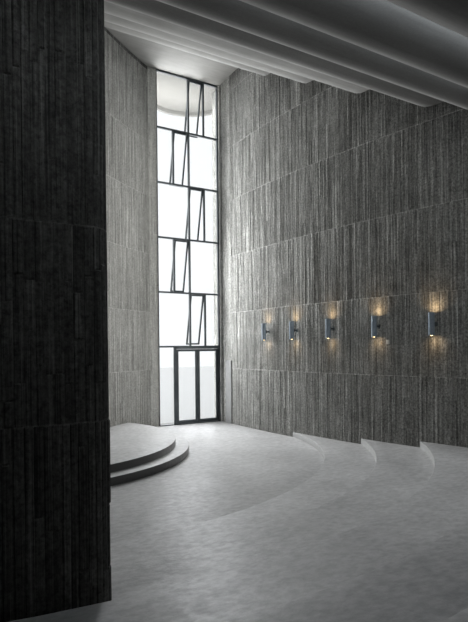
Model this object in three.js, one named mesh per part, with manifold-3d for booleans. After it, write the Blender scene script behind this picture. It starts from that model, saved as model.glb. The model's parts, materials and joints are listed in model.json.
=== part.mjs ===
// A small modern church: curved board-marked concrete walls, a roof that steps down
// from the tall window to the rear, glazed strips between the roof steps, a glazed
// double door at the foot of the window, a round dais and a floor in low curved tiers.
//
// Plan frame: x runs along the tall window, y points out through it, z is up.
// Lengths are in millimetres. The finished group is moved so that its origin is the
// centre of its footprint, at the level of the flat underside.
import * as THREE from 'three';
import { mergeVertices } from 'three/addons/utils/BufferGeometryUtils.js';
import Module from 'manifold-3d';

// General
const GAP = 0.3;                     // clearance between pieces that bear on each other
const FLOOR = 200;                   // top of the main floor above the base
const WALL = 300;                    // wall thickness
const FAR = 30000;                   // reach of the cutting solids
const FACET = 1300;                  // aimed length of one flat facet of a curved wall
const DEGREE = Math.PI / 180;

// Tall window in the front split
const WINDOW_LEFT = -1930;
const WINDOW_RIGHT = 70;
const MODULES = 4;
const ROWS = 5;
const ROW_HEIGHT = 1548;
const DOOR_ROW = 2250;               // main floor to the centre of the transom
const BAR = 50;                      // width of a bar
const BAR_FACE = 30;                 // distance of a bar's faces from the window plane
const PANE = 12;
const SILL = 20;
const WIDE_PANE_FIRST = [true, false, true, false, true];   // from the lowest row up
const SASH_RAIL = 42;
const SASH_DEPTH = 44;
const SASH_PANE = 8;
const SASH_SIDE_GAP = 3;
const SASH_ANGLE = 12 * DEGREE;

// Glazed double door beside the sidelight
const POST = 70;                     // door posts
const HEAD = 45;                     // bar under the transom
const DOOR_GAP = 6;                  // round the leaves
const MEETING_GAP = 10;
const STILE = 65;
const BOTTOM_RAIL = 90;
const LEAF_DEPTH = 44;
const KNUCKLE_RADIUS = 10;
const KNUCKLE_LENGTH = 110;
const KNUCKLE_LEVELS = [250, 1080, 1900];
const HINGE_PLATE = 32;
const HINGE_PLATE_DEPTH = 6;

// Wall curves, given by their inner faces
const RIGHT_RADIUS = 32050;          // bows gently into the room
const RIGHT_CENTRE = new THREE.Vector2(31990, -3300);
const RIGHT_FRONT = 500;
const RIGHT_REAR = -13000;
const REAR_RADIUS = 6200;            // rounds the rear of the room
const LEFT_RADIUS = 21000;
const LEFT_START = new THREE.Vector2(-2200, 0);
const LEFT_HEADING = 214.1 * DEGREE;
const JAMB_GAP = 5;                  // left wall end to the window frame

// Wall end that reaches into the room beside the split at the left
const TONGUE_ROOT = -9230;
const TONGUE_NOSE = -7110;
const TONGUE_FRONT = -10050;
const TONGUE_BACK = -10450;
const SCREEN_Y = -10250;             // glazed screen that closes the split
const SCREEN_TIER = 3;               // floor tier that the screen stands on
const SCREEN_STEP = 5;               // roof step above the tongue and the screen
const SCREEN_REACH = 1150;           // longer than the split is wide

// Roof
const SOFFIT = 10050;                // highest soffit above the main floor
const FRONT_SLAB = 350;
const SLAB = 250;
const STEPS = 7;
const FIRST_STEP = -2440;
const STEP_RUN = 1605;
const STEP_RISE = 836;
const OVERLAP = 200;                 // a slab reaches this far over the next lower one
const STRIP_SETBACK = 110;           // rounded edge of a slab to the glazed strip
const STRIP_GLASS = 20;
const NOSE_RUN = 400;                // the rounding under a slab's edge is a quarter ellipse
const NOSE_RISE = 240;
const NOSE_FACETS = 8;
const TIP_CENTRE = new THREE.Vector2(-400, 930);
const TIP_RADIUS = 1360;
const REAR_TOP = 4750;               // lowest wall top above the main floor

// Floor
const DAIS_CENTRE = new THREE.Vector2(-6600, -2050);
const DAIS_RADII = [4000, 3720];
const DAIS_RISE = 140;
const TIERS = 4;                     // before the rear platform, one rise higher
const TIER_RADIUS = 6740;
const TIER_RUN = 920;
const TIER_RISE = 120;
const ROUND_SIDES = 96;

// Fittings on the right wall: place along y and level above the main floor
const LIGHT_PLACES = [-2705, -3855, -5095, -6365, -7645];
const LIGHT_LEVEL = 2607;
const LIGHT_RADIUS = 57;
const LIGHT_HEIGHT = 430;
const LIGHT_STANDOFF = 165;          // wall face to the centre of the tube
const LIGHT_RECESS = 120;
const LIGHT_SHELL = 4;
const LIGHT_SIDES = 20;
const BRACKET = new THREE.Vector2(50, 80);
const PANEL_Y = -540;
const PANEL = new THREE.Vector3(360, 30, 1830);
const BOX_Y = -6600;
const BOX = new THREE.Vector3(90, 40, 90);
const BOX_LEVEL = 2285;

const materials = {
  concrete: new THREE.MeshStandardMaterial({ color: 0x7d7f7e, roughness: 0.95 }),
  plaster: new THREE.MeshStandardMaterial({ color: 0xb9bab6, roughness: 0.9 }),
  cement: new THREE.MeshStandardMaterial({ color: 0x9c9c98, roughness: 0.45 }),
  steel: new THREE.MeshStandardMaterial({ color: 0x23282d, roughness: 0.5, metalness: 0.6 }),
  glass: new THREE.MeshStandardMaterial({
    color: 0xdfe8ea,
    roughness: 0.05,
    transparent: true,
    opacity: 0.35,
  }),
  lamp: new THREE.MeshStandardMaterial({ color: 0x8f9ba6, roughness: 0.4, metalness: 0.7 }),
  panel: new THREE.MeshStandardMaterial({ color: 0x85888a, roughness: 0.6 }),
  socket: new THREE.MeshStandardMaterial({ color: 0xe6e6e2, roughness: 0.5 }),
};

const wasm = await Module();
wasm.setup();
const church = new THREE.Group();

// Solids and meshes
function solidOf(geometry) {
  const bare = geometry.clone();
  bare.deleteAttribute('normal');
  bare.deleteAttribute('uv');
  const merged = mergeVertices(bare, 0.001);
  const mesh = new wasm.Mesh({
    numProp: 3,
    vertProperties: new Float32Array(merged.attributes.position.array),
    triVerts: new Uint32Array(merged.index.array),
  });
  return new wasm.Manifold(mesh);
}

function geometryOf(solid) {
  const mesh = solid.getMesh();
  const geometry = new THREE.BufferGeometry();
  geometry.setAttribute('position', new THREE.BufferAttribute(mesh.vertProperties, 3));
  geometry.setIndex(new THREE.BufferAttribute(mesh.triVerts, 1));
  geometry.computeVertexNormals();
  return geometry;
}

function addMesh(name, solid, material) {
  const mesh = new THREE.Mesh(geometryOf(solid), materials[material]);
  mesh.name = name;
  church.add(mesh);
  return mesh;
}

// A plan outline raised from one height to another.
function prism(outline, bottom, top) {
  const shape = new THREE.Shape(outline);
  const geometry = new THREE.ExtrudeGeometry(shape, { depth: top - bottom, bevelEnabled: false });
  return solidOf(geometry.translate(0, 0, bottom));
}

// A profile of (y, z) points, run along x.
function profileAlongX(points) {
  const shape = new THREE.Shape(points);
  const geometry = new THREE.ExtrudeGeometry(shape, { depth: 2 * FAR, bevelEnabled: false });
  const turn = new THREE.Matrix4().makeBasis(
    new THREE.Vector3(0, 1, 0),
    new THREE.Vector3(0, 0, 1),
    new THREE.Vector3(1, 0, 0),
  );
  return solidOf(geometry.applyMatrix4(turn).translate(-FAR, 0, 0));
}

function block(x0, x1, y0, y1, z0, z1) {
  const geometry = new THREE.BoxGeometry(x1 - x0, y1 - y0, z1 - z0);
  return solidOf(geometry.translate((x0 + x1) / 2, (y0 + y1) / 2, (z0 + z1) / 2));
}

function upright(centre, radius, bottom, top, sides) {
  const geometry = new THREE.CylinderGeometry(radius, radius, top - bottom, sides);
  geometry.rotateX(Math.PI / 2);
  return solidOf(geometry.translate(centre.x, centre.y, (bottom + top) / 2));
}

const joined = (solids) => solids.reduce((whole, solid) => whole.add(solid));
const point = (x, y) => new THREE.Vector2(x, y);
const bearing = (angle) => point(Math.cos(angle), Math.sin(angle));

function arc(centre, radius, from, to, count) {
  const points = [];
  for (let i = 0; i <= count; i += 1) {
    const angle = from + (to - from) * i / count;
    points.push(centre.clone().addScaledVector(bearing(angle), radius));
  }
  return points;
}

// Heights
const level = (height) => FLOOR + height;
const soffit = (step) => level(SOFFIT - STEP_RISE * step);
const stepEdge = (step) => FIRST_STEP - STEP_RUN * (step - 1);
const roofTop = soffit(0) + FRONT_SLAB;

// Wall curves. A curve is an arc of the inner face, in equal parts. Its outward sign
// tells whether the outer face has the larger or the smaller radius.
function wallCurve(centre, radius, outward, from, to, parts) {
  const facets = Math.round(Math.abs(to - from) * radius / FACET / parts);
  return { centre, radius, outward, from, to, parts, facets };
}

function facePoints(curve, offset, first = 0, last = curve.parts) {
  const turn = (curve.to - curve.from) / curve.parts;
  return arc(
    curve.centre,
    curve.radius + curve.outward * offset,
    curve.from + turn * first,
    curve.from + turn * last,
    curve.facets * (last - first),
  );
}

const angleAt = (centre, radius, y) => Math.PI - Math.asin((y - centre.y) / radius);
const rightFrom = angleAt(RIGHT_CENTRE, RIGHT_RADIUS, RIGHT_FRONT);
const rightTo = angleAt(RIGHT_CENTRE, RIGHT_RADIUS, RIGHT_REAR);
const rightCurve = wallCurve(RIGHT_CENTRE, RIGHT_RADIUS, -1, rightFrom, rightTo, 3);

// The rear curve goes on from the right one with no corner.
const rearCentre = RIGHT_CENTRE.clone();
rearCentre.addScaledVector(bearing(rightTo), RIGHT_RADIUS + REAR_RADIUS);
const rearFrom = rightTo - Math.PI;
const rearTo = angleAt(rearCentre, REAR_RADIUS, TONGUE_BACK) - 2 * Math.PI;
const rearCurve = wallCurve(rearCentre, REAR_RADIUS, 1, rearFrom, rearTo, 4);

const leftCentre = LEFT_START.clone();
leftCentre.addScaledVector(bearing(LEFT_HEADING + Math.PI / 2), LEFT_RADIUS);
const leftFrom = LEFT_HEADING - Math.PI / 2;
const leftTo = angleAt(leftCentre, LEFT_RADIUS, TONGUE_BACK);
const leftCurve = wallCurve(leftCentre, LEFT_RADIUS, 1, leftFrom, leftTo, 3);

// Left jamb of the window: the wall's end, cut square to the window plane
const jambX = WINDOW_LEFT - JAMB_GAP;
const leftOuterStart = facePoints(leftCurve, WALL)[0];
const jambY = leftOuterStart.y + (jambX - leftOuterStart.x) * Math.tan(LEFT_HEADING);

// The room's outline in plan, drawn in from the wall faces.
function roomOutline(inset) {
  const rear = facePoints(rearCurve, -inset).reverse();
  const right = facePoints(rightCurve, -inset).reverse();
  return [
    point(jambX + inset, jambY),
    point(jambX + inset, -inset),
    ...facePoints(leftCurve, -inset),
    ...rear,
    ...right.slice(1),
  ];
}

function tongueOutline(grow) {
  const radius = (TONGUE_FRONT - TONGUE_BACK) / 2;
  const centre = point(TONGUE_NOSE - radius, (TONGUE_FRONT + TONGUE_BACK) / 2);
  return [
    point(TONGUE_ROOT - grow, TONGUE_BACK - grow),
    ...arc(centre, radius + grow, -Math.PI / 2, Math.PI / 2, 10),
    point(TONGUE_ROOT - grow, TONGUE_FRONT + grow),
  ];
}

const room = prism(roomOutline(GAP), -FLOOR, roofTop + FLOOR);

// Walls: under the front slab to the first roof step, then a parapet that falls with
// the roof steps to the rear.
function belowWallTops() {
  const seat = soffit(0) - GAP;
  const fall = (roofTop - level(REAR_TOP)) * STEP_RUN / STEP_RISE;
  return profileAlongX([
    point(-FAR, -FLOOR),
    point(FAR, -FLOOR),
    point(FAR, seat),
    point(FIRST_STEP - GAP, seat),
    point(FIRST_STEP - GAP, roofTop),
    point(FIRST_STEP - GAP - fall, level(REAR_TOP)),
    point(-FAR, level(REAR_TOP)),
  ]);
}

const wallTops = belowWallTops();

function wallSolid(curve, part, end = []) {
  const inner = facePoints(curve, 0, part, part + 1);
  const outer = facePoints(curve, WALL, part, part + 1).reverse();
  return prism([...inner, ...outer, ...end], 0, roofTop).intersect(wallTops);
}

const sidePlaces = ['front', 'middle', 'rear'];
for (const [part, place] of sidePlaces.entries()) {
  addMesh(`right_wall_${place}`, wallSolid(rightCurve, part), 'concrete');
  const jamb = part === 0 ? [point(jambX, jambY), point(jambX, 0)] : [];
  addMesh(`left_wall_${place}`, wallSolid(leftCurve, part, jamb), 'concrete');
}

const behindTongue = block(-FAR, FAR, -FAR, TONGUE_BACK - GAP, -FAR, FAR);
for (let part = 0; part < rearCurve.parts; part += 1) {
  const solid = wallSolid(rearCurve, part).intersect(behindTongue);
  addMesh(`rear_wall_${part + 1}`, solid, 'concrete');
}
addMesh('tongue_wall', prism(tongueOutline(0), 0, soffit(SCREEN_STEP) - GAP), 'concrete');

// Roof. The front slab lies on the walls and swells to a round tip past the window.
function tangentTurn(from, side) {
  const away = TIP_CENTRE.clone().sub(from);
  return away.angle() + side * (Math.asin(TIP_RADIUS / away.length()) + Math.PI / 2);
}

function frontSlab() {
  const leftSide = facePoints(leftCurve, WALL, 0, 1).reverse();
  const rightSide = facePoints(rightCurve, WALL, 0, 1);
  const onWalls = prism([...leftSide, point(jambX, jambY), ...rightSide], soffit(0), roofTop);
  const leftFoot = leftSide.findLast((corner) => corner.y < FIRST_STEP);
  const rightFoot = rightSide.find((corner) => corner.y < FIRST_STEP);
  const from = tangentTurn(leftFoot, 1);
  const to = tangentTurn(rightFoot, -1);
  const tip = [leftFoot, ...arc(TIP_CENTRE, TIP_RADIUS, from, to, 24), rightFoot];
  const overTip = prism(tip, soffit(0), roofTop);
  const front = block(-FAR, FAR, FIRST_STEP, FAR, 0, FAR);
  const lap = block(-FAR, FAR, FIRST_STEP - OVERLAP, FIRST_STEP + 1, soffit(0), roofTop);
  return onWalls.add(overTip).intersect(front).add(lap.intersect(room));
}

// A lower slab: its edge towards the window is rounded underneath.
function stepSlab(step) {
  const edge = stepEdge(step);
  const bottom = soffit(step);
  const back = step === STEPS ? -FAR : stepEdge(step + 1) - OVERLAP;
  const centre = point(edge - NOSE_RUN, bottom + NOSE_RISE);
  const nose = [];
  for (let i = 0; i <= NOSE_FACETS; i += 1) {
    const way = bearing(Math.PI / 2 * (i / NOSE_FACETS - 1));
    nose.push(centre.clone().add(way.multiply(point(NOSE_RUN, NOSE_RISE))));
  }
  return profileAlongX([
    point(back, bottom),
    ...nose,
    point(edge, bottom + SLAB),
    point(back, bottom + SLAB),
  ]).intersect(room);
}

function glazedStrip(step) {
  const front = stepEdge(step) - STRIP_SETBACK;
  const bottom = soffit(step) + SLAB + GAP;
  const top = soffit(step - 1) - GAP;
  return block(-FAR, FAR, front - STRIP_GLASS, front, bottom, top).intersect(room);
}

addMesh('roof_front', frontSlab(), 'plaster');
for (let step = 1; step <= STEPS; step += 1) {
  addMesh(`roof_step_${step}`, stepSlab(step), 'plaster');
  addMesh(`roof_strip_glass_${step}`, glazedStrip(step), 'glass');
}

// Floor: a flat slab, low tiers that rise round the dais on its side away from the
// window, and the rear platform behind the last tier.
const platformRadius = TIER_RADIUS + TIER_RUN * TIERS;
const platformTop = level(TIER_RISE * (TIERS + 1));
const upToTongue = (solid) => solid.subtract(prism(tongueOutline(GAP), -FAR, FAR));
const tierDisc = (radius) => upright(DAIS_CENTRE, radius, -FAR, FAR, ROUND_SIDES);

function raisedLayer(bottom, top, radius) {
  const layer = block(-FAR, FAR, -FAR, DAIS_CENTRE.y, bottom, top);
  return layer.intersect(room).subtract(tierDisc(radius));
}

function tiersSolid() {
  const layers = [];
  for (let tier = 1; tier <= TIERS; tier += 1) {
    const bottom = tier === 1 ? FLOOR + GAP : level(TIER_RISE * (tier - 1)) - GAP;
    const radius = TIER_RADIUS + TIER_RUN * (tier - 1);
    layers.push(raisedLayer(bottom, level(TIER_RISE * tier), radius));
  }
  return upToTongue(joined(layers).intersect(tierDisc(platformRadius - GAP)));
}

function daisSolid() {
  const steps = DAIS_RADII.map((radius, i) => {
    const top = level(DAIS_RISE * (i + 1));
    return upright(DAIS_CENTRE, radius, FLOOR + GAP, top, ROUND_SIDES);
  });
  return joined(steps).intersect(room);
}

const slab = block(-FAR, FAR, -FAR, FAR, 0, FLOOR).intersect(room);
const platform = raisedLayer(FLOOR + GAP, platformTop, platformRadius);
addMesh('floor', upToTongue(slab), 'cement');
addMesh('floor_tiers', tiersSolid(), 'cement');
addMesh('floor_platform', upToTongue(platform), 'cement');
addMesh('dais', daisSolid(), 'cement');

// Tall window
const module = (WINDOW_RIGHT - WINDOW_LEFT) / MODULES;
const moduleLine = (i) => WINDOW_LEFT + module * i;
const railLevel = (row) => level(DOOR_ROW + ROW_HEIGHT * row);
const transomBottom = railLevel(0) - BAR / 2;
const headBottom = transomBottom - HEAD;
const frameTop = soffit(0) - GAP;
const sillTop = FLOOR + GAP + SILL;
const doorLeft = moduleLine(1) + POST / 2;
const doorRight = WINDOW_RIGHT - POST;

// Module lines between the panes of an upper row, and the module where its sash hangs
const sashModule = (row) => (WIDE_PANE_FIRST[row] ? 2 : 1);
const rowLines = (row) => [0, sashModule(row), sashModule(row) + 1, MODULES];

// Where a clear opening starts and ends beside the bars on two module lines
function clearWidth(first, last) {
  const x0 = first === 0 ? WINDOW_LEFT + BAR : moduleLine(first) + BAR / 2;
  const x1 = last === MODULES ? WINDOW_RIGHT - BAR : moduleLine(last) - BAR / 2;
  return [x0, x1];
}

function clearHeight(row) {
  const top = row === ROWS - 1 ? frameTop - BAR : railLevel(row + 1) - BAR / 2;
  return [railLevel(row) + BAR / 2, top];
}

function windowFrame() {
  const hole = (x0, x1, z0, z1) => block(x0, x1, -FAR, FAR, z0, z1);
  const holes = [
    hole(WINDOW_LEFT + BAR, doorLeft - POST, sillTop, transomBottom),
    hole(doorLeft, doorRight, sillTop, headBottom),
  ];
  for (let row = 0; row < ROWS; row += 1) {
    const lines = rowLines(row);
    for (let i = 0; i + 1 < lines.length; i += 1) {
      holes.push(hole(...clearWidth(lines[i], lines[i + 1]), ...clearHeight(row)));
    }
  }
  const whole = block(WINDOW_LEFT, WINDOW_RIGHT, -BAR_FACE, BAR_FACE, FLOOR + GAP, frameTop);
  return whole.subtract(joined(holes));
}

// Clear opening of a sash between the bars
function sashOpening(row) {
  const [x0, x1] = clearWidth(sashModule(row), sashModule(row) + 1);
  const [z0, z1] = clearHeight(row);
  return { x0, x1, z0, z1 };
}

// One sheet stands outside the bars for all the fixed panes, open at the sashes and
// at the door.
function windowGlass() {
  const front = BAR_FACE + GAP;
  const back = front + PANE;
  let sheet = block(WINDOW_LEFT, WINDOW_RIGHT, front, back, sillTop, frameTop);
  sheet = sheet.subtract(block(doorLeft - POST / 2, FAR, 0, FAR, 0, transomBottom + BAR / 2));
  for (let row = 0; row < ROWS; row += 1) {
    const { x0, x1, z0, z1 } = sashOpening(row);
    sheet = sheet.subtract(block(x0, x1, 0, FAR, z0, z1));
  }
  return sheet;
}

// A top-hung sash stands open outwards. Its own origin is its outer top edge.
function addSash(row) {
  const { x0, x1, z0, z1 } = sashOpening(row);
  const width = x1 - x0 - 2 * SASH_SIDE_GAP;
  const height = z1 - z0 - 2 * SASH_SIDE_GAP;
  const frame = block(0, width, -SASH_DEPTH, 0, -height, 0);
  const hole = block(
    SASH_RAIL,
    width - SASH_RAIL,
    -FAR,
    FAR,
    SASH_RAIL - height,
    -SASH_RAIL,
  );
  const pane = block(
    SASH_RAIL - 1,
    width - SASH_RAIL + 1,
    -(SASH_DEPTH + SASH_PANE) / 2,
    -(SASH_DEPTH - SASH_PANE) / 2,
    SASH_RAIL - height - 1,
    1 - SASH_RAIL,
  );
  const mesh = addMesh(`window_sash_${row + 1}`, frame.subtract(hole).add(pane), 'steel');
  mesh.position.set(x0 + SASH_SIDE_GAP, BAR_FACE, z1 - GAP);
  mesh.rotation.x = SASH_ANGLE;
}

addMesh('window_frame', windowFrame(), 'steel');
addMesh('window_glass', windowGlass(), 'glass');
for (let row = 0; row < ROWS; row += 1) {
  addSash(row);
}

// Door leaves, hinged outside at the posts. The left one is drawn, the right mirrored.
const leafWidth = (doorRight - doorLeft - MEETING_GAP) / 2 - DOOR_GAP;
const leafBottom = sillTop + DOOR_GAP;
const leafTop = headBottom - DOOR_GAP;

function leafSolids(side) {
  const hingeX = side < 0 ? doorLeft + DOOR_GAP / 2 : doorRight - DOOR_GAP / 2;
  const across = (a, b) => {
    const ends = [hingeX - side * a, hingeX - side * b];
    return [Math.min(...ends), Math.max(...ends)];
  };
  const near = DOOR_GAP / 2;
  const far = near + leafWidth;
  const back = BAR_FACE - LEAF_DEPTH;
  const whole = block(...across(near, far), back, BAR_FACE, leafBottom, leafTop);
  const openLow = leafBottom + BOTTOM_RAIL;
  const openHigh = leafTop - STILE;
  const hole = block(...across(near + STILE, far - STILE), -FAR, FAR, openLow, openHigh);
  const axisY = BAR_FACE + KNUCKLE_RADIUS + GAP;
  const hinges = KNUCKLE_LEVELS.flatMap((height) => {
    const low = level(height) - KNUCKLE_LENGTH / 2;
    const high = low + KNUCKLE_LENGTH;
    const plateBack = BAR_FACE - 2;
    return [
      upright(point(hingeX, axisY), KNUCKLE_RADIUS, low, high, 16),
      block(...across(0, HINGE_PLATE), plateBack, plateBack + HINGE_PLATE_DEPTH, low, high),
    ];
  });
  const middle = BAR_FACE - LEAF_DEPTH / 2;
  const glass = block(
    ...across(near + STILE + GAP, far - STILE - GAP),
    middle - PANE / 2,
    middle + PANE / 2,
    openLow + GAP,
    openHigh - GAP,
  );
  return { leaf: joined([whole.subtract(hole), ...hinges]), glass };
}

for (const [side, place] of [[-1, 'left'], [1, 'right']]) {
  const { leaf, glass } = leafSolids(side);
  addMesh(`door_leaf_${place}`, leaf, 'steel');
  addMesh(`door_glass_${place}`, glass, 'glass');
}

// Glazed screen in the split at the left, between the left wall and the tongue
function screenSolids() {
  const right = TONGUE_ROOT - GAP;
  const left = right - SCREEN_REACH;
  const bottom = level(TIER_RISE * SCREEN_TIER) + GAP;
  const top = soffit(SCREEN_STEP) - GAP;
  const low = SCREEN_Y - BAR_FACE;
  const high = SCREEN_Y + BAR_FACE;
  const wallSide = facePoints(leftCurve, 0).at(-1).x;
  const lines = [bottom + BAR / 2];
  for (let row = 0; railLevel(row) + BAR < top; row += 1) {
    lines.push(railLevel(row));
  }
  lines.push(top - BAR / 2);
  const holes = lines.slice(1).map((line, i) => {
    const holeLow = lines[i] + BAR / 2;
    return block(wallSide + 2 * BAR, right - BAR, -FAR, FAR, holeLow, line - BAR / 2);
  });
  const whole = block(left, right, low, high, bottom, top).intersect(room);
  const back = low - GAP;
  return {
    frame: whole.subtract(joined(holes)),
    glass: block(left, right, back - PANE, back, bottom, top).intersect(room),
  };
}

const screen = screenSolids();
addMesh('side_screen_frame', screen.frame, 'steel');
addMesh('side_screen_glass', screen.glass, 'glass');

// Fittings on the right wall. A fitting's own x points into the room from the wall
// facet behind it, and its own y runs along the facet.
function seatOnRightWall(mesh, y) {
  const face = facePoints(rightCurve, 0);
  const i = face.findIndex((corner) => corner.y < y);
  const along = face[i - 1].clone().sub(face[i]);
  const share = (y - face[i].y) / along.y;
  const spot = face[i].clone().addScaledVector(along, share);
  mesh.position.set(spot.x, spot.y, 0);
  mesh.rotation.z = along.angle() + Math.PI / 2;
}

function wallLight() {
  const end = LIGHT_HEIGHT / 2;
  const bore = LIGHT_RADIUS - LIGHT_SHELL;
  const profile = [
    point(0, LIGHT_RECESS - end),
    point(bore, LIGHT_RECESS - end),
    point(bore, -end),
    point(LIGHT_RADIUS, -end),
    point(LIGHT_RADIUS, end),
    point(bore, end),
    point(bore, end - LIGHT_RECESS),
    point(0, end - LIGHT_RECESS),
  ];
  const tube = new THREE.LatheGeometry(profile, LIGHT_SIDES);
  tube.rotateX(Math.PI / 2);
  const centre = level(LIGHT_LEVEL);
  const arm = block(
    GAP,
    LIGHT_STANDOFF - bore,
    -BRACKET.x / 2,
    BRACKET.x / 2,
    centre - BRACKET.y / 2,
    centre + BRACKET.y / 2,
  );
  return solidOf(tube.translate(LIGHT_STANDOFF, 0, centre)).add(arm);
}

for (const [i, place] of LIGHT_PLACES.entries()) {
  seatOnRightWall(addMesh(`wall_light_${i + 1}`, wallLight(), 'lamp'), place);
}

const panel = block(GAP, PANEL.y, -PANEL.x / 2, PANEL.x / 2, FLOOR + GAP, level(PANEL.z));
seatOnRightWall(addMesh('service_panel', panel, 'panel'), PANEL_Y);

const boxLow = level(BOX_LEVEL) - BOX.z / 2;
const box = block(GAP, BOX.y, -BOX.x / 2, BOX.x / 2, boxLow, boxLow + BOX.z);
seatOnRightWall(addMesh('switch_box', box, 'socket'), BOX_Y);

// Origin at the centre of the footprint
church.updateMatrixWorld(true);
const middle = new THREE.Box3().setFromObject(church).getCenter(new THREE.Vector3());
church.position.set(-middle.x, -middle.y, 0);

export default church;
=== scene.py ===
import json
import math
import random

import bmesh
import bpy
from mathutils import Matrix, Vector

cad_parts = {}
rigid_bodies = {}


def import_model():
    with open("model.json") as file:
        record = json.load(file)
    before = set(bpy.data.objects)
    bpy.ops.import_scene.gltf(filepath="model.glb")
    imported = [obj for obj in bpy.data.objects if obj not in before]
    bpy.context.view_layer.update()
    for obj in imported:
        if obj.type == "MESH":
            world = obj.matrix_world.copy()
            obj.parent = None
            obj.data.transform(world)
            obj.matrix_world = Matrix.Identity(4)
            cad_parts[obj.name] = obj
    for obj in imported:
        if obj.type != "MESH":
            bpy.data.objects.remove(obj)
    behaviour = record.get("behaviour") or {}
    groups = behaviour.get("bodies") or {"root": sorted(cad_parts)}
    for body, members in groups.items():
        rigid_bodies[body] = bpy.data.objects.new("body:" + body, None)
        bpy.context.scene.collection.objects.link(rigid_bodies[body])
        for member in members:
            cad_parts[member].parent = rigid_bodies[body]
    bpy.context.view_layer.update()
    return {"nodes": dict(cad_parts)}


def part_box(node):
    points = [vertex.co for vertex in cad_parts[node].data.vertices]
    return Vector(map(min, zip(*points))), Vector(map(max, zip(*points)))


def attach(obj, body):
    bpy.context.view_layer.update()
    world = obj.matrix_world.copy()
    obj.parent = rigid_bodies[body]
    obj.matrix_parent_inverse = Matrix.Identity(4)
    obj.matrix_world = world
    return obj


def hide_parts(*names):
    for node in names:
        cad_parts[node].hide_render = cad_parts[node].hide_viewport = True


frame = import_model()
nodes = frame["nodes"]
BUILDING = "building"

# Plan frame: x runs along the tall window, y points out through it
window_low, window_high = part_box("window_frame")
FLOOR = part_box("floor")[1].z
WINDOW_LEFT = -1.93
WINDOW_RIGHT = 0.07
ORIGIN = Vector((window_low.x - WINDOW_LEFT, (window_low.y + window_high.y) / 2, 0.0))

# Walls, in the plan frame: the inner faces are arcs
WALL = 0.3
RIGHT_CENTRE = Vector((31.99, -3.3))
RIGHT_RADIUS = 32.05
RIGHT_FRONT = 0.5
RIGHT_REAR = -13.0
REAR_RADIUS = 6.2
LEFT_RADIUS = 21.0
LEFT_START = Vector((-2.2, 0.0))
LEFT_HEADING = math.radians(214.1)
JAMB_X = WINDOW_LEFT - 0.005  # face of the left wall's end, just clear of the window
BAR = 0.05                   # width of the window's bars
BAR_EDGE = 0.006             # what shows of the left one
TONGUE_ROOT = -9.23
TONGUE_NOSE = -7.11
TONGUE_FRONT = -10.05
TONGUE_BACK = -10.45

# Roof line, as heights above the base
TOP_SOFFIT = 10.25
ROOF_TOP = 10.6
REAR_TOP = 4.95
STEPS = 7
PALE_STEPS = 3               # the steps nearest the window have the paler render; the others have soffits painted darker as shade
FIRST_STEP = -2.44
STEP_RUN = 1.605
STEP_RISE = 0.836
SLAB = 0.25

# Board marks. Lift joints are heights above the base.
WALL_LIFTS = [0.0, 1.808, 3.412, 5.038, 6.655, 8.195, 9.8, 10.7]
LEFT_LIFTS = [0.0, 1.808, 3.412, 5.038, 6.655, 8.195, 10.15, 10.7]
SHADOW_FROM = 10.1           # painted shadow: the left wall has a dark band under the roof from here up
TONGUE_LIFTS = [0.0, 1.85, 3.3, 6.3]
LAP = 0.012                  # from a joint to the full face of a board
LIP = 0.006                  # from a board's edge to its full face
JOINT_PROUD = 0.003
FIN_HEIGHTS = (0.003, 0.007)
FIN_PALENESS = (0.3, 0.8)
GAP_DEPTHS = (0.003, 0.009)  # between boards with no fin
BREAK_DEPTH = 0.004          # between two lengths of one board
ROOF_SHADE_REACH = 1.9             # painted shade: the walls are darker down to here below their tops
MARGIN_END = -0.7            # plan y where the plain margin beside the window ends
GROOVE = (-0.10, -0.17)      # upright groove in that margin
GROOVE_DEPTH = 0.03
FACET = 1.3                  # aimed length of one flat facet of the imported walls
SHORT_LIFT = 0.6             # in a lift lower than this each board is one length
SHADE_BY_WINDOW = 0.4        # share of the usual painted roof shade under the high soffit
LIFT_SHIFT = 3.1             # moves the wall pattern along from one lift to the next

# Roundings of the edges
SLAB_EDGE = 0.008
STEEL_EDGE = 0.003


def plan(point, height):
    """A point of the plan frame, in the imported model's frame."""
    return ORIGIN + Vector((point[0], point[1], height))


def bearing(angle):
    return Vector((math.cos(angle), math.sin(angle)))


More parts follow.
